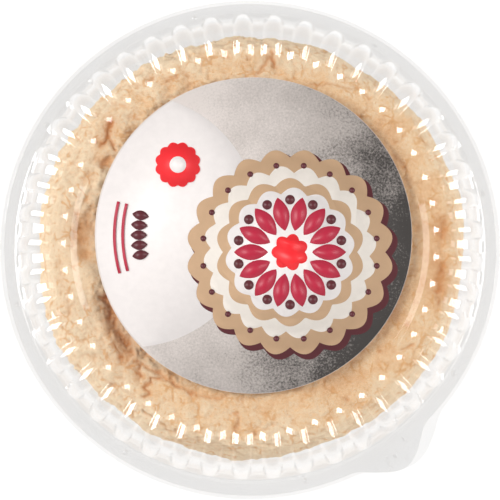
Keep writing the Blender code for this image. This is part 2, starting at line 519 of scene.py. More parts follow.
def studio_floor(settings):
    """A white paper sweep, lit from below and above, a little less behind on the left."""
    material, tree = start_material("white paper floor")
    paper = add_node(
        tree, "ShaderNodeBsdfDiffuse", {"Color": tuple(settings.floor), "Roughness": 0.5}
    )
    place = add_node(tree, "ShaderNodeTexCoord").outputs["Object"]
    nearer = add_node(
        tree, "ShaderNodeVectorMath", {1: (0.7, -0.5, 0.0)}, {0: place}, operation="DOT_PRODUCT"
    )
    ends = {"From Min": -0.1, "To Min": 0.91 * settings.glow}
    ends |= {"From Max": 0.1, "To Max": 1.06 * settings.glow}
    power = add_node(tree, "ShaderNodeMapRange", ends, {"Value": nearer.outputs["Value"]})
    glow = add_node(
        tree,
        "ShaderNodeEmission",
        {"Color": (1.0, 1.0, 1.0, 1.0)},
        {"Strength": power.outputs["Result"]},
    )
    both = add_node(
        tree, "ShaderNodeAddShader", None, {0: paper.outputs[0], 1: glow.outputs[0]}
    )
    add_node(tree, "ShaderNodeOutputMaterial", None, {"Surface": both.outputs[0]})
    return material


# ---------------------------------------------------------------- settings


def length(title, text, default):
    """A length setting."""
    return bpy.props.FloatProperty(
        name=title, description=text, default=default, precision=4, unit="LENGTH", subtype="DISTANCE"
    )


def paint(title, text, code):
    """A colour setting from an sRGB hex code."""
    return bpy.props.FloatVectorProperty(
        name=title, description=text, default=colour(code), size=4, min=0.0, max=1.0, subtype="COLOR"
    )


def share(title, text, default):
    """A setting from 0 to 1."""
    return bpy.props.FloatProperty(
        name=title, description=text, default=default, min=0.0, max=1.0, subtype="FACTOR"
    )


class PlasticSettings(bpy.types.PropertyGroup):
    """The clear sheet that the lid and the tray are pressed from."""

    tint: paint("Tint", "What light keeps as it passes one face of the sheet", "#fbfbfb")
    reflectance: share("Reflectance", "Light that one face mirrors straight on", 0.055)
    roughness: share("Roughness", "Blur of the mirrored lights", 0.035)


class LidSettings(bpy.types.PropertyGroup):
    """Sizes of the clear lid."""

    rim_radius: length("Rim Radius", "Outer radius of the rim", 102.2 * MM)
    rim_height: length("Rim Height", "Height of the rim's upper face", 10.8 * MM)
    wall_foot_radius: length("Wall Foot Radius", "Radius of the wall at the rim", 97.2 * MM)
    wall_radius: length("Wall Radius", "Radius of the wall at the ledge", 97.0 * MM)
    ledge_height: length("Ledge Height", "Height of the ledge's outer edge", 25.0 * MM)
    foot_radius: length("Foot Radius", "Radius of the shoulder's foot", 94.2 * MM)
    rib_foot_radius: length("Rib Foot Radius", "Radius of the ribs' feet", 96.3 * MM)
    foot_height: length("Foot Height", "Height of the shoulder's foot", 25.3 * MM)
    top_radius: length("Top Radius", "Radius where the shoulder is level", 80.9 * MM)
    bend: length("Bend", "Radius of the shoulder's upper bend", 18.2 * MM)
    knee: length("Knee", "Radius of the shoulder's lower bend", 3.0 * MM)
    rib_bend: length("Rib Bend", "Radius of the ribs' upper bend", 21.3 * MM)
    rib_knee: length("Rib Knee", "Radius of the ribs' lower bend", 5.0 * MM)
    ring_height: length("Ring Height", "Height of the flat ring", 39.5 * MM)
    rib_height: length("Rib Height", "Height of the ribs' crests", LID_HIGH.z)
    nose_radius: length("Nose Radius", "Radius of the ribs' inner ends", 75.4 * MM)
    slope_radius: length("Slope Radius", "Outer radius of the slope", 73.6 * MM)
    panel_radius: length("Panel Radius", "Radius of the flat panel", 71.0 * MM)
    panel_height: length("Panel Height", "Height of the flat panel", 40.0 * MM)
    rib_half_width: length("Rib Half Width", "Half of a rib's width", 4.2 * MM)
    fillet: share("Fillet", "Softness of the hollow where a rib meets the shoulder", 0.04)


class TraySettings(bpy.types.PropertyGroup):
    """Sizes of the clear tray."""

    rim_radius: length("Rim Radius", "Outer radius of the rim", 103.7 * MM)
    rim_height: length("Rim Height", "Height of the rim's underside", 9.5 * MM)
    wall_radius: length("Wall Radius", "Radius of the wall at the rim", 95.4 * MM)
    bend_radius: length("Bend Radius", "Radius of the wall's bend", 92.0 * MM)
    bend_height: length("Bend Height", "Height of the wall's bend", 5.0 * MM)
    foot_radius: length("Foot Radius", "Outer radius of the foot ring", 88.5 * MM)
    ring_radius: length("Ring Radius", "Inner radius of the foot ring", 76.0 * MM)
    floor_radius: length("Floor Radius", "Radius of the raised floor", 74.0 * MM)
    floor_height: length("Floor Height", "Height of the raised floor's underside", 1.2 * MM)
    scallop: length("Scallop", "Depth of the wall's shallow flutes", 0.5 * MM)


class CrustSettings(bpy.types.PropertyGroup):
    """Sizes and colours of the meringue."""

    radius: length("Radius", "Mean radius of the crust", 87.4 * MM)
    base: length("Base", "Height of the underside", 2.0 * MM)
    east: length("East", "How far the crust sits off the pack's middle along X", 0.4 * MM)
    north: length("North", "How far the crust sits off the pack's middle along Y", 0.4 * MM)
    oval: share("Oval", "How much wider than long the crust is", 0.008)
    swell: length("Swell", "Height of the broad swells", 1.5 * MM)
    plates: length("Plates", "Height of the puffed plates", 1.5 * MM)
    crumble: length("Crumble", "Height of the crumbly relief", 1.8 * MM)
    # The crust runs from pale to tan by random blotches and the tone attribute: partly its own uneven
    # colour, partly painted light that makes the west and the steep outer side paler and painted shade that
    # makes the east and the hollows tanner.
    pale: paint("Pale", "Paler crust", "#ffe6c3")
    middle: paint("Middle", "Most of the crust", "#fcd5a7")
    tan: paint("Tan", "Toasted crust", "#ecb684")
    amber: paint("Amber", "Specks and hair cracks of browned sugar", "#eaa862")
    # Mixed in by the hollow attribute: browned sugar in cracks, and painted shade in hollows, creases and
    # sunk places.
    toasted_and_shade: paint("Toasted", "Cracks and hollows", "#d68e4c")


class LabelSettings(bpy.types.PropertyGroup):
    """Sizes and colours of the printed paper label."""

    radius: length("Radius", "Radius of the label", 65.0 * MM)
    thickness: length("Thickness", "Thickness of the paper", 0.3 * MM)
    layer: length("Print Layer", "Height of one layer of print", 0.03 * MM)
    paper: paint("Paper", "Unprinted paper", "#ebe4e1")
    stone_pale: paint("Pale Stone", "Pale side of the stone ground", "#e0d6d0")
    stone_middle: paint("Middle Stone", "Middle of the stone ground", "#b5aca6")
    stone_dark: paint("Dark Stone", "Dark side of the stone ground", "#3f3a37")
    red: paint("Red", "Bright red ink", "#f2242c")
    crimson: paint("Crimson", "Crimson ink", "#b4203c")
    maroon: paint("Maroon", "Dark maroon ink", "#5a1e26")
    biscuit: paint("Biscuit", "Tan ink", "#c9a582")
    cream: paint("Cream", "Cream ink", "#efe6dc")


class StageSettings(bpy.types.PropertyGroup):
    """Floor, lights and camera."""

    floor: paint("Floor", "Colour of the floor", "#a8a8a8")
    glow: bpy.props.FloatProperty(name="Glow", description="Light from the floor", default=0.74)
    sky: bpy.props.FloatProperty(name="Sky", description="Light from above", default=0.33)
    wall: bpy.props.FloatProperty(name="Wall", description="Light from low down", default=1.35)
    west: bpy.props.FloatProperty(name="West", description="Brightness of the left box", default=9.0)
    east: bpy.props.FloatProperty(name="East", description="Brightness of the right box", default=6.0)
    spill: bpy.props.FloatProperty(
        name="Spill", description="Brightness of the dim panels above the boxes", default=1.5
    )
    box_size: length("Box Size", "Side of a softbox", 0.6)
    box_distance: length("Box Distance", "How far a softbox stands", 1.2)
    elevation: bpy.props.FloatProperty(
        name="Elevation",
        description="How high the camera looks from",
        default=math.radians(85.4),
        subtype="ANGLE",
    )
    distance: length("Camera Distance", "How far the camera stands", 2.6)
    aim: length("Aim", "How far along Y the camera aims from the pack's middle", -0.4 * MM)
    half_frame: length("Half Frame", "Half of what the camera sees at the rim", 103.62 * MM)


GROUPS = {
    "plastic": PlasticSettings,
    "lid": LidSettings,
    "tray": TraySettings,
    "crust": CrustSettings,
    "label": LabelSettings,
    "stage": StageSettings,
}


def settings_of(context, group):
    """One of the scene's groups of settings."""
    return getattr(context.scene, "pavlova_" + group)


def clear_plastic(context):
    """The clear sheet's material, made once."""
    found = bpy.data.materials.get("pressed clear PET")
    return found or pressed_clear_pet(settings_of(context, "plastic"))


# ---------------------------------------------------------------- lid


def shoulder(start, bend, knee, outside, cuts):
    """A shoulder's section as (radius, height) points, from level at its start.

    Where the surface has tilted by t, an arc of the radius R has gone R sin t out and R - R cos t
    down: first with the radius bend to 30 degrees and then with the radius knee to 72. The points
    outside follow, with their corners rounded off by cuts.
    """
    first = np.radians(np.linspace(0.0, 30.0, 7))
    second = np.radians(np.linspace(30.0, 72.0, 6))
    upper = start + bend * np.stack((np.sin(first), np.cos(first) - 1.0), axis=-1)
    lower = np.stack((np.sin(second), np.cos(second)), axis=-1)
    lower = upper[-1] + knee * (lower - lower[0])
    return np.concatenate((upper, lower[1:-1], rounded([lower[-1], *outside], cuts)))


def lid_stations(sizes):
    """The lid's outside from the middle of its panel to its rim, as arrays: the radius and height
    between ribs, and the radius and height on a rib."""
    panel = rounded(
        [
            (sizes.panel_radius - 4.0 * MM, sizes.panel_height),
            (sizes.panel_radius, sizes.panel_height),
            (sizes.slope_radius, sizes.ring_height),
            (sizes.slope_radius + 0.4 * MM, sizes.ring_height),
        ],
        0.3 * MM,
    )
    middle = np.array([(radius * MM, sizes.panel_height) for radius in (0.0, 30.0, 50.0, 62.0)])
    past = (-0.15, -0.05, 0.03, 0.1, 0.18, 0.3, 0.5, 0.8, 1.15, 1.5, 1.9, 2.3, 2.7, 3.1, 3.5, 4.0, 4.6)
    ring = np.array([(sizes.nose_radius + step * MM, sizes.ring_height) for step in past])
    inside = np.concatenate((middle, panel, ring))
    flat = sizes.rim_height
    outside = [
        (sizes.wall_radius, sizes.ledge_height),
        (sizes.wall_foot_radius, flat),
        (sizes.wall_foot_radius + 1.0 * MM, flat),
    ]
    rim = np.array([(sizes.rim_radius - 0.2 * MM, flat), (sizes.rim_radius, flat)])
    cuts = (1.8 * MM, 0.4 * MM, 0.3 * MM)
    foot = (sizes.foot_radius, sizes.foot_height)
    rib_foot = (sizes.rib_foot_radius, sizes.foot_height)
    start = np.array((sizes.top_radius, sizes.ring_height))
    rib_start = np.array((sizes.top_radius, sizes.rib_height))
    valley = shoulder(start, sizes.bend, sizes.knee, [foot, *outside], cuts)
    crest = shoulder(rib_start, sizes.rib_bend, sizes.rib_knee, [rib_foot, *outside], cuts)
    fall = 0.08 * MM * smooth_step(sizes.top_radius, sizes.top_radius - 2.4 * MM, inside[:, 0])
    crest_inside = inside + (0.0, sizes.rib_height - sizes.ring_height)
    crest_inside[:, 1] -= fall
    valley = np.concatenate((inside, valley, rim))
    crest = np.concatenate((crest_inside, crest, rim))
    return np.concatenate((valley, crest), axis=1).T[..., None]


def lid_grid(sizes):
    """The lid's outside as rows and columns of points.

    x is the distance in plan from a rib's middle line, which ends half a width inside its nose,
    so that the nose is round. A rib's section is an arc of the radius R that is h high and 2w
    wide: the valley moves towards the crest by g = (sqrt(R^2 - x^2) - R + h) / h, which is
    1 - x^2 / w^2 beyond w. f = (g + sqrt(g^2 + e^2)) / 2 rounds off the hollow at its foot.
    """
    valley_r, valley_z, crest_r, crest_z = lid_stations(sizes)
    side = np.array((0.28, 0.52, 0.73, 0.9, 0.985, 1.045, 1.14))
    across = np.concatenate((-side[::-1], (0.0,), side, (2.0,))) * sizes.rib_half_width
    plan_radius = np.maximum(valley_r, sizes.nose_radius + 0.6 * MM)
    offset = np.minimum(across / plan_radius, RIB_PITCH / 2.0)
    past_nose = np.maximum(sizes.nose_radius + sizes.rib_half_width - valley_r, 0.0)
    away = np.hypot(past_nose, offset * plan_radius)
    half = sizes.rib_half_width
    rise = np.maximum(np.hypot(crest_r - valley_r, crest_z - valley_z), 0.1 * MM)
    arc_radius = (half**2 + rise**2) / (2.0 * rise)
    arc = (np.sqrt(arc_radius**2 - np.minimum(away, half) ** 2) - arc_radius + rise) / rise
    body = np.where(away < half, arc, 1.0 - (away / half) ** 2)
    lift = np.minimum((body + np.sqrt(body**2 + sizes.fillet**2)) / 2.0, 1.0)
    lift = lift * smooth_step(sizes.slope_radius, sizes.nose_radius, valley_r)
    radius = valley_r + (crest_r - valley_r) * lift
    height = valley_z + (crest_z - valley_z) * lift
    middles = RIB_AZIMUTH + RIB_PITCH * np.arange(RIB_COUNT)
    azimuth = (middles[None, :, None] + offset[:, None, :]).reshape(len(radius), -1)
    radius = np.tile(radius, (1, RIB_COUNT))
    height = np.tile(height, (1, RIB_COUNT))
    flat_rim = sizes.wall_foot_radius + 1.0 * MM
    stretch = smooth_step(flat_rim, sizes.rim_radius, radius) * (height < sizes.ledge_height / 2)
    radius = radius + stretch * tab_reach(azimuth, LID_TAB)
    return turned(radius, azimuth, height)


def domes(places, radii, heights, base, columns=16):
    """Closed half-ellipsoids that stand on a base height, one patch of points each."""
    lift = np.radians((90.0, 70.0, 50.0, 30.0, 15.0, 0.0, 0.0))[:, None]
    reach = np.cos(lift)
    reach[-1] = 0.0
    turn = np.linspace(0.0, math.tau, columns, endpoint=False)
    unit = turned(reach, turn, np.sin(lift))
    return [
        unit * (radius, radius, height) + (*place, base)
        for place, radius, height in zip(places, radii, heights)
    ]


def ridges(starts, ends, width, height, base, columns=12):
    """Closed low ridges with round ends from starts to ends, standing on a base height."""
    lift = np.radians((90.0, 60.0, 30.0, 0.0, 0.0))[:, None]
    reach = np.cos(lift)
    reach[-1] = 0.0
    turn = np.linspace(0.0, math.tau, columns, endpoint=False) + math.pi / columns
    patches = []
    for start, end in zip(starts, ends):
        along = (end - start) / np.linalg.norm(end - start)
        side = np.array((-along[1], along[0]))
        middle = np.where(np.cos(turn)[:, None] > 0.0, end, start)
        rim = np.cos(turn)[:, None] * along + np.sin(turn)[:, None] * side
        plan = middle[None] + reach[..., None] * rim[None] * width / 2.0
        plan[-1] = (start + end) / 2.0
        top = np.broadcast_to(base + height * np.sin(lift), plan.shape[:2])
        patches.append(np.concatenate((plan, top[..., None]), axis=-1))
    return patches


class PAVLOVA_OT_lid(bpy.types.Operator):
    """Make the clear ribbed lid with its snap buttons and grip marks"""

    bl_idname = "pavlova.lid"
    bl_label = "Clear Lid"

    def execute(self, context):
        sizes = settings_of(context, "lid")
        plastic = clear_plastic(context)
        lid = make_piece("lid_sheet", [lid_grid(sizes)], plastic)
        thicken(lid, SHEET)
        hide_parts("lid")

        turns = np.radians(13.5 + 45.0 * np.arange(8))
        places = polar(turns, 98.9 * MM)
        buttons = domes(places, [1.3 * MM] * 8, [0.8 * MM] * 8, sizes.rim_height)
        make_piece("lid_buttons", buttons, plastic)

        draw = np.random.default_rng(7)
        count = 16
        middle = polar(
            LID_TAB[0] + np.radians(draw.uniform(-5.5, 5.5, count)),
            draw.uniform(101.0, 108.0, count) * MM,
        )
        heading = math.radians(125.0) + np.radians(draw.uniform(-35.0, 35.0, count))
        half = polar(heading, draw.uniform(0.35, 1.2, count) * MM)
        marks = ridges(middle - half, middle + half, 0.7 * MM, 0.3 * MM, sizes.rim_height)
        make_piece("grip_marks", marks, plastic)
        return {"FINISHED"}


# ---------------------------------------------------------------- tray


class PAVLOVA_OT_tray(bpy.types.Operator):
    """Make the clear tray under the meringue"""

    bl_idname = "pavlova.tray"
    bl_label = "Clear Tray"

    def execute(self, context):
        sizes = settings_of(context, "tray")
        cuts = (0.1 * MM, 0.5 * MM, *[1.4 * MM] * 4)
        outline = rounded(
            [
                (sizes.rim_radius, sizes.rim_height),
                (sizes.rim_radius - 0.2 * MM, sizes.rim_height),
                (sizes.wall_radius, sizes.rim_height),
                (sizes.bend_radius, sizes.bend_height),
                (sizes.foot_radius, 0.0),
                (sizes.ring_radius, 0.0),
                (sizes.floor_radius, sizes.floor_height),
                (0.0, sizes.floor_height),
            ],
            cuts,
            steps=6,
        )
        radius, height = outline.T[..., None]
        azimuth = np.linspace(0.0, math.tau, 8 * RIB_COUNT, endpoint=False)
        on_wall = smooth_step(0.0, sizes.bend_height, height) * smooth_step(
            sizes.rim_height, sizes.bend_height, height
        )
        flute = 0.5 - 0.5 * np.cos(RIB_COUNT * (azimuth - RIB_AZIMUTH))
        radius = radius - sizes.scallop * on_wall * flute
        on_rim = smooth_step(sizes.wall_radius + 3.0 * MM, sizes.rim_radius, radius)
        radius = radius + on_rim * tab_reach(azimuth, TRAY_TAB)
        grid = turned(radius, azimuth, height)
        tray = make_piece("tray_sheet", [grid], clear_plastic(context))
        thicken(tray, SHEET)
        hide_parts("tray")
        return {"FINISHED"}


# ---------------------------------------------------------------- meringue

# The crust's outline: shares of its radius and heights over its underside, from the middle of
# its top to the middle of its underside.
OUTLINE = (
    (0.00, 30.0 * MM),
    (0.48, 31.0 * MM),
    (0.66, 33.4 * MM),
    (0.78, 34.6 * MM),
    (0.90, 33.8 * MM),
    (0.945, 32.0 * MM),
    (0.97, 27.0 * MM),
    (0.985, 20.0 * MM),
    (0.995, 12.0 * MM),
    (1.00, 6.0 * MM),
    (0.975, 0.0),
    (0.00, 0.0),
)

# Cracks and hollows in the crust: width and depth in millimetres, then the (azimuth, radius in
# millimetres) points that each follows, about a middle that lies a little along -Y from the
# pack's. One point makes a pit.
CRACK_MIDDLE = -2.4 * MM
CRACKS = (
    (7.0, 4.4, ((221, 65.4), (217, 64.4), (212, 63.4), (207, 62.6), (203, 61.6), (199, 61.2))),
    (2.0, 3.0, ((222, 66.7), (218, 68.4), (215, 67.6))),
    (1.7, 1.9, ((224, 65.0), (229.5, 63.9), (233.5, 63.0), (237, 63.5), (241, 62.7), (247.6, 63.9))),
    (1.5, 2.2, ((235.2, 64.4), (231.8, 66.9), (233.6, 68.2), (232.2, 70.6), (235.4, 72.5), (234.6, 74.2))),
    (1.0, 1.3, ((262, 60.1), (259, 62.6), (255, 63.4), (249, 63.6))),
    (2.4, 2.2, ((229.5, 69.6), (226.4, 68.0), (226.8, 65.9), (224, 64.7))),
    (1.3, 1.5, ((265.5, 81.2), (265, 77.5), (265.3, 73.8), (266, 70.5), (265, 67.6))),
    (0.8, 1.0, ((268.5, 85.8), (268, 83.3))),
    (0.9, 2.0, ((236, 79.2), (245, 80.3), (252.4, 81.1), (259, 81.8), (265.4, 82.4))),
    (0.8, 1.8, ((247, 82.6), (255, 83.1), (262, 83.7))),
    (1.0, 0.6, ((298, 74.6), (294, 75.0), (291, 75.9))),
    (1.0, 0.7, ((285, 74.6), (284.5, 71.3), (282, 69.6), (279, 70.0), (277.5, 72.5))),
    (1.0, 0.7, ((273.5, 73.8), (273.5, 70.5), (271, 68.4))),
    (1.0, 0.6, ((277, 73.8), (272, 74.2), (270, 73.0))),
    (1.0, 0.6, ((275, 65.9), (271, 65.7), (268, 65.9))),
    (1.0, 0.7, ((268.5, 65.5), (267.5, 62.2), (266.5, 59.7))),
    (2.5, 3.0, ((145, 75.4), (141.5, 75.0), (139, 76.7), (136.5, 79.2))),
    (1.5, 2.0, ((142, 75.9), (142, 72.5), (143, 68.8))),
    (1.4, 2.0, ((87, 73.0), (86, 77.1), (84.5, 80.0), (84, 82.5))),
    (2.0, 2.2, ((84.2, 80.8), (82.5, 77.5))),
    (1.0, 1.2, ((70, 73.4), (66, 75.0), (62, 77.1), (58, 80.0), (52, 80.4))),
    (1.6, 0.9, ((37, 73.8), (36, 76.7), (38, 78.8))),
    (1.6, 0.9, ((36, 71.7), (31, 71.3), (27, 71.7))),
    (1.0, 1.2, ((13, 82.9), (10.5, 83.7), (8.5, 85.4))),
    (1.2, 1.5, ((-30, 77.1), (-31.5, 75.4), (-34, 74.2))),
    (1.6, 1.6, ((271.5, 77.5),)),
    (1.6, 1.4, ((-25.5, 70.9),)),
    (1.6, 1.4, ((-57, 73.8),)),
    (1.6, 1.4, ((-38, 66.9),)),
    (1.8, 1.6, ((91, 79.6),)),
    (1.4, 1.4, ((118, 77.9), (115.5, 78.3), (113.5, 77.5))),
    (1.4, 1.4, ((111, 77.9), (109.5, 76.3))),
    (1.6, 1.4, ((120, 82.9), (121, 81.2))),
    (1.6, 1.2, ((161.5, 81.0),)),
)

# Soft hollows, written the same way. Besides their dent, each paints shade into the crust's colour.
HOLLOWS = (
    (9.0, 2.4, ((171, 68.6), (176, 68.6))),
    (7.0, 2.2, ((181, 67.8),)),
    (5.0, 2.0, ((148, 69.2),)),
    (5.0, 1.2, ((199, 77.9), (193, 77.1), (188, 77.5), (184, 77.9))),
    (5.0, 1.0, ((96.5, 81.7),)),
    (5.5, 2.1, ((8.5, 79.0), (6.5, 78.8), (4.5, 78.6))),
    (6.0, 2.4, ((-5.5, 78.4), (-9, 78.5), (-12.5, 78.9))),
    (4.0, 1.3, ((4, 78.6), (0, 78.4), (-5, 78.4), (-13, 79.4), (-15, 80.9))),
    (10.0, 1.2, ((-53, 67.1),)),
)


def crust_rows(radius):
    """Rows of the crust's outline as radius, height and outward normal.

    The outline's corners are cut three times at a quarter of each side, and the result is
    sampled by its own length, densest over the part that shows.
    """
    points = np.array([(part * radius, height) for part, height in OUTLINE])
    for _ in range(3):
        cut = np.stack((points[:-1] * 0.75 + points[1:] * 0.25, points[:-1] * 0.25 + points[1:] * 0.75))
        middle = cut.transpose(1, 0, 2).reshape(-1, 2)
        points = np.concatenate((points[:1], middle, points[-1:]))
    run = np.concatenate(((0.0,), np.cumsum(np.linalg.norm(np.diff(points, axis=0), axis=1))))
    edge = run[np.argmax(points[:, 0])]
    stations = np.concatenate(
        (
            np.linspace(0.0, 54.0 * MM, 8, endpoint=False),
            np.linspace(54.0 * MM, edge, 102, endpoint=False),
            np.linspace(edge, edge + 10.0 * MM, 6, endpoint=False),
            np.linspace(edge + 10.0 * MM, run[-1], 4),
        )
    )
    outline = np.stack([np.interp(stations, run, points[:, axis]) for axis in (0, 1)], axis=-1)
    slope = np.gradient(outline, stations, axis=0)
    normal = np.stack((-slope[:, 1], slope[:, 0]), axis=-1)
    normal /= np.linalg.norm(normal, axis=1, keepdims=True)
    return outline, normal


def soften(field, reach):
    """The mean of a field over reach rows and columns on each side, round the turn."""
    steps = range(-reach, reach + 1)
    wide = sum(np.roll(field, step, axis=1) for step in steps) / len(steps)
    rows = np.clip(np.arange(len(field))[:, None] + np.arange(-reach, reach + 1), 0, len(field) - 1)
    return wide[rows].mean(axis=1)


def groove(plan, strokes):
    """How deep strokes cut at each point of a plan, and a 0 to 1 mark of where they are.

    Each is its depth times exp(-(d / w)^2), with d the distance to its line and w half its width.
    The mark, which colours the crust, is a part of that and a part of a band twice as wide, weaker where
    the stroke is shallow: painted shade that is darker the deeper the stroke, and in cracks partly browned
    sugar.
    """
    depth = np.zeros(plan.shape[:-1])
    mark = depth.copy()
    for width, deep, line in strokes:
        turns, radii = np.array(line, float).T
        points = polar(np.radians(turns), radii * MM)
        if len(points) == 1:
            away = np.linalg.norm(plan - points[0], axis=-1)
        else:
            away = line_distance(plan, points)
        dent = np.exp(-((away / (width * MM / 2.0)) ** 2))
        depth = np.maximum(depth, deep * MM * dent)
        # Painted shade, stronger the deeper the stroke; in cracks partly browned sugar.
        stain_and_shade = (0.6 * dent + 0.4 * dent**0.2) * min(1.0, (deep / 2.5) ** 2)
        mark = np.maximum(mark, stain_and_shade)
    return depth, mark


def crust_surface(sizes):
    """The crust as rows and columns of points, with its colour attributes.

    Each point of the smooth outline moves along its normal by a sum of broad swells, puffed
    plates between cell borders, crumbly ridged noise and fine grain, less the cracks.
    """
    outline, normal = crust_rows(sizes.radius)
    azimuth = np.linspace(0.0, math.tau, 790, endpoint=False)
    radius, height = outline.T[..., None]
    place = turned(radius, azimuth, height)
    plan = place[..., :2] + (sizes.east, sizes.north - CRACK_MIDDLE)
    jagged = np.stack([octaves(place, 4.0 * MM, 40 + 4 * axis, 4) for axis in (0, 1)], axis=-1)
    plan = plan + jagged * 1.3 * MM
    warp = np.stack([octaves(place, 9.0 * MM, 60 + 4 * axis, 4) for axis in range(3)], axis=-1)
    warped = place + 2.6 * MM * warp

    side = smooth_step(0.92, 0.985, radius / sizes.radius) * smooth_step(0.0, 4.0 * MM, height)
    top = 1.0 - side
    puffed = np.clip(0.2 + sector(azimuth, 222, 310) + sector(azimuth, 15, 80), 0.0, 1.0)
    rough = np.clip(
        0.15 + sector(azimuth, 82, 170, 20) + sector(azimuth, 195, 228) + 0.3 * sector(azimuth, 228, 300),
        0.0,
        1.0,
    )
    swell = gradient_noise(place, 30.0 * MM, 1) + 0.5 * gradient_noise(place, 14.0 * MM, 2)
    edges, level = cells(warped, 16.0 * MM, 3)
    plate = 0.6 * level + 0.4 * (1.0 - np.exp(-edges / (2.0 * MM)))
    small_edges, small_level = cells(warped, 5.5 * MM, 5)
    small = 0.6 * small_level + 0.4 * (1.0 - np.exp(-small_edges / (0.8 * MM)))
    crumb_edges, crumb_level = cells(warped, 2.2 * MM, 9)
    crumb = crumb_level - 0.5 + np.minimum(crumb_edges / MM, 1.0)
    crumble = 1.5 * octaves(place, 6.0 * MM, 7, 4)
    grain = octaves(place, 1.8 * MM, 11, 2)
    along = np.stack(np.broadcast_arrays(azimuth * 22.0 * MM, 1.4 * radius, height), axis=-1)
    strata = octaves(along, 3.0 * MM, 15, 3, ridged=True) - 0.9

    depth, mark = groove(plan, CRACKS)
    soft_depth, hollow_shade = groove(plan, HOLLOWS)
    rise = sizes.swell * swell
    rise = rise + sizes.plates * puffed * (plate - 0.6)
    rise = rise + 0.5 * sizes.plates * (small - 0.6) * (0.1 + rough)
    rise = rise + sizes.crumble * rough * crumble * 0.6
    rise = rise + 0.45 * MM * crumb * rough
    rise = rise + 0.25 * MM * grain
    rise = rise + 0.6 * MM * strata * smooth_step(0.86, 0.95, radius / sizes.radius)
    rise = rise - (0.7 * depth + soft_depth) * top
    low = smooth_step(0.0, 5.0 * MM, height)
    showing = smooth_step(50.0 * MM, 60.0 * MM, radius)
    rise = np.clip(rise * low * np.maximum(showing, side), -6.0 * MM, 2.2 * MM)

    normal_r, normal_z = normal.T[..., None]
    width = 1.0 + sizes.oval * np.cos(2.0 * azimuth)
    surface = turned(radius * width + normal_r * rise, azimuth, height + normal_z * rise + sizes.base)
    surface = surface + np.array((sizes.east, sizes.north, 0.0))

    # Painted shade: the hollow attribute darkens the crust where it sinks below its neighbours, in creases
    # and in the soft hollows; in cracks it is partly browned sugar and partly painted shade.
    sunk_shade = np.clip((soften(rise, 6) - rise) / MM - 0.1, 0.0, 1.0)
    crease_shade = np.clip((soften(rise, 2) - rise) / (0.35 * MM), 0.0, 1.0)
    hollow = 0.6 * mark * (1.0 - 0.6 * side) + 0.55 * hollow_shade + 0.25 * sunk_shade + 0.12 * crease_shade
    hollow = np.clip(hollow, 0.0, 1.0)
    # Painted light and shade in the tone attribute: paler to the west, where the light falls, and tanner to
    # the east, a little tanner to the south, darker in the soft hollows, and paler on the steep outer side,
    # which stands in shade. The tone also turns darker towards the middle, under the label.
    west_light_tone = (
        0.35
        + 0.3 * sector(azimuth, -60, 60, 50)
        + 0.1 * sector(azimuth, 230, 300, 40)
        - 0.35 * sector(azimuth, 150, 225, 40)
    )
    inner = 1.0 - smooth_step(66.0 * MM, 84.0 * MM, radius)
    tone = np.clip(west_light_tone + 0.4 * hollow_shade + 0.3 * inner - 0.4 * side, -0.3, 1.0)
    return surface, {"hollow": hollow, "tone": tone}


class PAVLOVA_OT_crust(bpy.types.Operator):
    """Make the baked meringue"""

    bl_idname = "pavlova.crust"
    bl_label = "Meringue"

    def execute(self, context):
        sizes = settings_of(context, "crust")
        surface, attributes = crust_surface(sizes)
        crust = make_piece(
            "meringue_crust", [surface], baked_meringue(sizes), attributes
        )
        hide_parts("pavlova")
        return {"FINISHED"}


# ---------------------------------------------------------------- label


def ring_of(count, radius, first=0.0):
    """The azimuths and (x, y) points of count places round a ring."""
    azimuth = np.radians(first) + math.tau * np.arange(count) / count
    return azimuth, polar(azimuth, radius)


def disc(middle, radius, columns=48):
    """The outline of a disc."""
    return ring_of(columns, radius)[1] + middle


def rosette(middle, radius, lobes, depth, turn=0.0, columns=240):
    """A scalloped outline: the radius grows by depth times the absolute sine of half the lobes."""
    azimuth = math.tau * np.arange(columns) / columns
    reach = radius + depth * np.abs(np.sin(lobes * azimuth / 2.0 + turn))
    return polar(azimuth, reach) + middle


def petal(middle, turn, inner, outer, width, columns=20):
    """A leaf shape along a ray: its half width is width / 2 times the sine of the share along it."""
    along = np.linspace(0.0, 1.0, columns)
    reach = inner + (outer - inner) * along
    half = width / 2.0 * np.sin(math.pi * along) ** 0.8
    lower = np.stack((reach, -half), axis=-1)
    upper = np.stack((reach, half), axis=-1)[-2:0:-1]
    points = np.concatenate((lower, upper))
    cos, sin = math.cos(turn), math.sin(turn)
    return points @ np.array(((cos, sin), (-sin, cos))) + middle


def lens(first, first_radius, second, second_radius, columns=600):
    """The outline of what two discs share: each point of the first disc's circle that lies
    outside the second moves in to the second's circle along the line to the lens's middle."""
    middle = (np.array(first) + np.array(second)) / 2.0
    azimuth = math.tau * np.arange(columns) / columns
    ray = polar(azimuth, 1.0)
    reaches = []
    for centre, radius in ((first, first_radius), (second, second_radius)):
        away = middle - np.array(centre)
        half = ray @ away
        reaches.append(-half + np.sqrt(np.maximum(half**2 - away @ away + radius**2, 0.0)))
    return middle + ray * np.minimum(*reaches)[:, None]


def arc_band(middle, radius, width, first, last, columns=60):
    """A band of a width round a middle, from azimuth first to last in degrees."""
    turn = np.radians(np.linspace(first, last, columns))
    return np.concatenate((polar(turn, radius + width / 2), polar(turn[::-1], radius - width / 2))) + middle


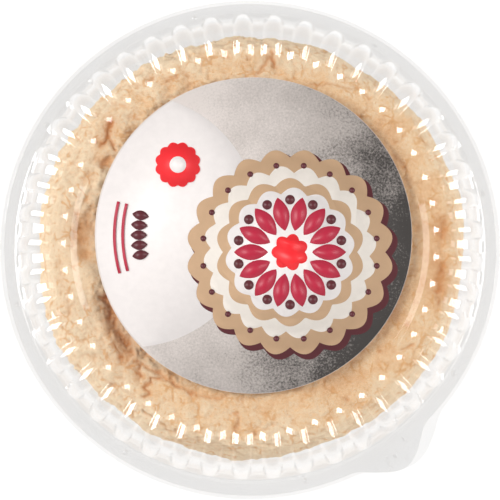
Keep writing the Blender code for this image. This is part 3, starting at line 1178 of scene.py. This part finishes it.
class PAVLOVA_OT_label(bpy.types.Operator):
    """Make the paper label with its printed fields and shapes"""

    bl_idname = "pavlova.label"
    bl_label = "Printed Label"

    def execute(self, context):
        look = settings_of(context, "label")
        middle = np.array(((LABEL_LOW.x + LABEL_HIGH.x) / 2.0, (LABEL_LOW.y + LABEL_HIGH.y) / 2.0))
        top = LABEL_HIGH.z
        paper = make_flat(
            "label_paper",
            [disc(middle, look.radius, 180)],
            top,
            look.thickness,
            printed_paper("satin paper", look.paper),
        )
        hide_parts("label")

        level = 0

        def print_layer(name, outlines, material):
            nonlocal level
            level += 1
            height = top + level * look.layer
            shifted = [outline * MM + middle for outline in outlines]
            make_flat(name, shifted, height, 0.9 * look.layer, material)

        origin = np.zeros(2)
        print_layer("print_stone", [disc(origin, 64.9, 180)], stone_print(look))
        inks = {
            title: printed_paper("satin paper printed " + title, getattr(look, title))
            for title in ("paper", "red", "crimson", "maroon", "biscuit", "cream")
        }
        print_layer("print_field", [lens((0.0, 0.0), 64.4, (-50.0, 6.0), 52.0)], inks["paper"])

        heart = np.array((15.0, -7.0))
        print_layer("print_shadow", [rosette(heart + (1.6, -1.6), 40.0, 20, 3.0)], inks["maroon"])
        print_layer("print_rosette", [rosette(heart, 39.0, 20, 3.4)], inks["biscuit"])
        print_layer("print_rings", [rosette(heart, 32.5, 20, 3.0, 0.5)], inks["cream"])
        print_layer("print_inner", [rosette(heart, 27.5, 14, 3.0)], inks["biscuit"])
        print_layer("print_white", [rosette(heart, 24.0, 14, 2.6, 0.5)], inks["paper"])
        petals = [petal(heart, turn, 9.0, 23.0, 6.6) for turn in ring_of(14, 1.0)[0]]
        print_layer("print_petals", petals, inks["crimson"])
        dots = [disc(heart + place, 2.0, 24) for place in ring_of(14, 21.6, 180 / 14)[1]]
        dots += [disc(heart + place, 1.2, 16) for place in ring_of(20, 36.0, 9.0)[1]]
        print_layer("print_dots", dots, inks["maroon"])
        print_layer("print_eye", [rosette(heart, 6.0, 7, 1.6)], inks["red"])

        sun = np.array((-31.0, 29.0))
        print_layer("print_sun", [rosette(sun, 8.4, 12, 1.0)], inks["red"])
        print_layer("print_sun_eye", [disc(sun, 3.4)], inks["paper"])
        bands = [
            arc_band(origin, radius, 1.2, first, last)
            for radius, first, last in ((57.0, 166.0, 196.0), (53.6, 166.0, 196.0))
        ]
        print_layer("print_bands", bands, inks["crimson"])
        row = [
            petal(middle_point, turn, -3.4, 3.4, 4.0)
            for turn, middle_point in zip(*ring_of(72, 47.0))
            if 168.0 <= math.degrees(turn) <= 194.0
        ]
        print_layer("print_row", row, inks["maroon"])
        return {"FINISHED"}


# ---------------------------------------------------------------- stage


def softbox(name, azimuth, elevation, size, radiance, distance):
    """An area light, wide by high, that faces the middle of the floor from an azimuth and an
    elevation in degrees. Its power is pi times its area times its radiance."""
    lamp = bpy.data.lights.new(name, "AREA")
    lamp.shape = "RECTANGLE"
    lamp.size, lamp.size_y = size
    lamp.energy = math.pi * size[0] * size[1] * radiance
    light = bpy.data.objects.new(name, lamp)
    bpy.context.scene.collection.objects.link(light)
    turn = Matrix.Rotation(math.radians(azimuth + 90.0), 4, "Z")
    tilt = Matrix.Rotation(math.radians(90.0 - elevation), 4, "X")
    light.matrix_world = turn @ tilt @ Matrix.Translation((0.0, 0.0, distance))
    light.visible_camera = False


class PAVLOVA_OT_stage(bpy.types.Operator):
    """Make the floor, the softboxes and the camera"""

    bl_idname = "pavlova.stage"
    bl_label = "Stage"

    def execute(self, context):
        stage = settings_of(context, "stage")
        scene = context.scene
        bpy.ops.mesh.primitive_plane_add(size=6.0)
        floor = context.object
        floor.name = "floor"
        floor.data.materials.append(studio_floor(stage))

        world = bpy.data.worlds.new("pale studio")
        world.use_nodes = True
        tree = world.node_tree
        tree.nodes.clear()
        direction = add_node(tree, "ShaderNodeTexCoord").outputs["Generated"]
        upward = add_node(tree, "ShaderNodeSeparateXYZ", None, {"Vector": direction})
        wall = add_node(
            tree,
            "ShaderNodeMapRange",
            {"From Min": 0.1, "From Max": 0.6, "To Min": stage.wall, "To Max": stage.sky},
            {"Value": upward.outputs["Z"]},
            interpolation_type="SMOOTHSTEP",
        )
        front = add_node(
            tree,
            "ShaderNodeMapRange",
            {"From Min": -1.0, "From Max": 1.0, "To Min": 1.35, "To Max": 0.75},
            {"Value": upward.outputs["Y"]},
        )
        strength = add_node(
            tree,
            "ShaderNodeMath",
            None,
            {0: wall.outputs["Result"], 1: front.outputs["Result"]},
            operation="MULTIPLY",
        )
        sky = add_node(tree, "ShaderNodeBackground", None, {"Strength": strength.outputs[0]})
        add_node(tree, "ShaderNodeOutputWorld", None, {"Surface": sky.outputs[0]})
        scene.world = world
        box, spill = (stage.box_size, stage.box_size), (0.34, 0.21)
        for name, azimuth, radiance in (("west", 170.0, stage.west), ("east", 4.0, stage.east)):
            softbox("softbox_" + name, azimuth, 45.0, box, radiance, stage.box_distance)
            softbox("spill_" + name, azimuth, 70.0, spill, stage.spill, stage.box_distance)

        lens_data = bpy.data.cameras.new("camera")
        lens_data.lens = lens_data.sensor_width / 2.0 * stage.distance / stage.half_frame
        camera = bpy.data.objects.new("camera", lens_data)
        scene.collection.objects.link(camera)
        target = Vector((0.0, stage.aim, settings_of(context, "lid").rim_height))
        away = Vector((0.0, -math.cos(stage.elevation), math.sin(stage.elevation)))
        camera.location = target + away * stage.distance
        camera.rotation_euler = (math.pi / 2.0 - stage.elevation, 0.0, 0.0)
        scene.camera = camera

        scene.view_settings.view_transform = "Standard"
        scene.cycles.transparent_max_bounces = 32
        return {"FINISHED"}


# ---------------------------------------------------------------- add-on


class PAVLOVA_PT_panel(bpy.types.Panel):
    """Lists the pavlova's pieces in the sidebar"""

    bl_label = "Packed Pavlova"
    bl_space_type = "VIEW_3D"
    bl_region_type = "UI"
    bl_category = "Pavlova"

    def draw(self, context):
        for operator in OPERATORS:
            self.layout.operator(operator.bl_idname)
        for group, kind in GROUPS.items():
            box = self.layout.box()
            box.label(text=group.capitalize())
            for title in kind.__annotations__:
                box.prop(settings_of(context, group), title)


OPERATORS = (PAVLOVA_OT_crust, PAVLOVA_OT_tray, PAVLOVA_OT_lid, PAVLOVA_OT_label, PAVLOVA_OT_stage)


def register():
    for kind in (*GROUPS.values(), *OPERATORS, PAVLOVA_PT_panel):
        bpy.utils.register_class(kind)
    for group, kind in GROUPS.items():
        setattr(bpy.types.Scene, "pavlova_" + group, bpy.props.PointerProperty(type=kind))


def unregister():
    for group in GROUPS:
        delattr(bpy.types.Scene, "pavlova_" + group)
    for kind in (PAVLOVA_PT_panel, *OPERATORS[::-1], *reversed(GROUPS.values())):
        bpy.utils.unregister_class(kind)


def main():
    register()
    bpy.ops.pavlova.crust()
    bpy.ops.pavlova.tray()
    bpy.ops.pavlova.lid()
    bpy.ops.pavlova.label()
    bpy.ops.pavlova.stage()


if __name__ == "__main__":
    main()
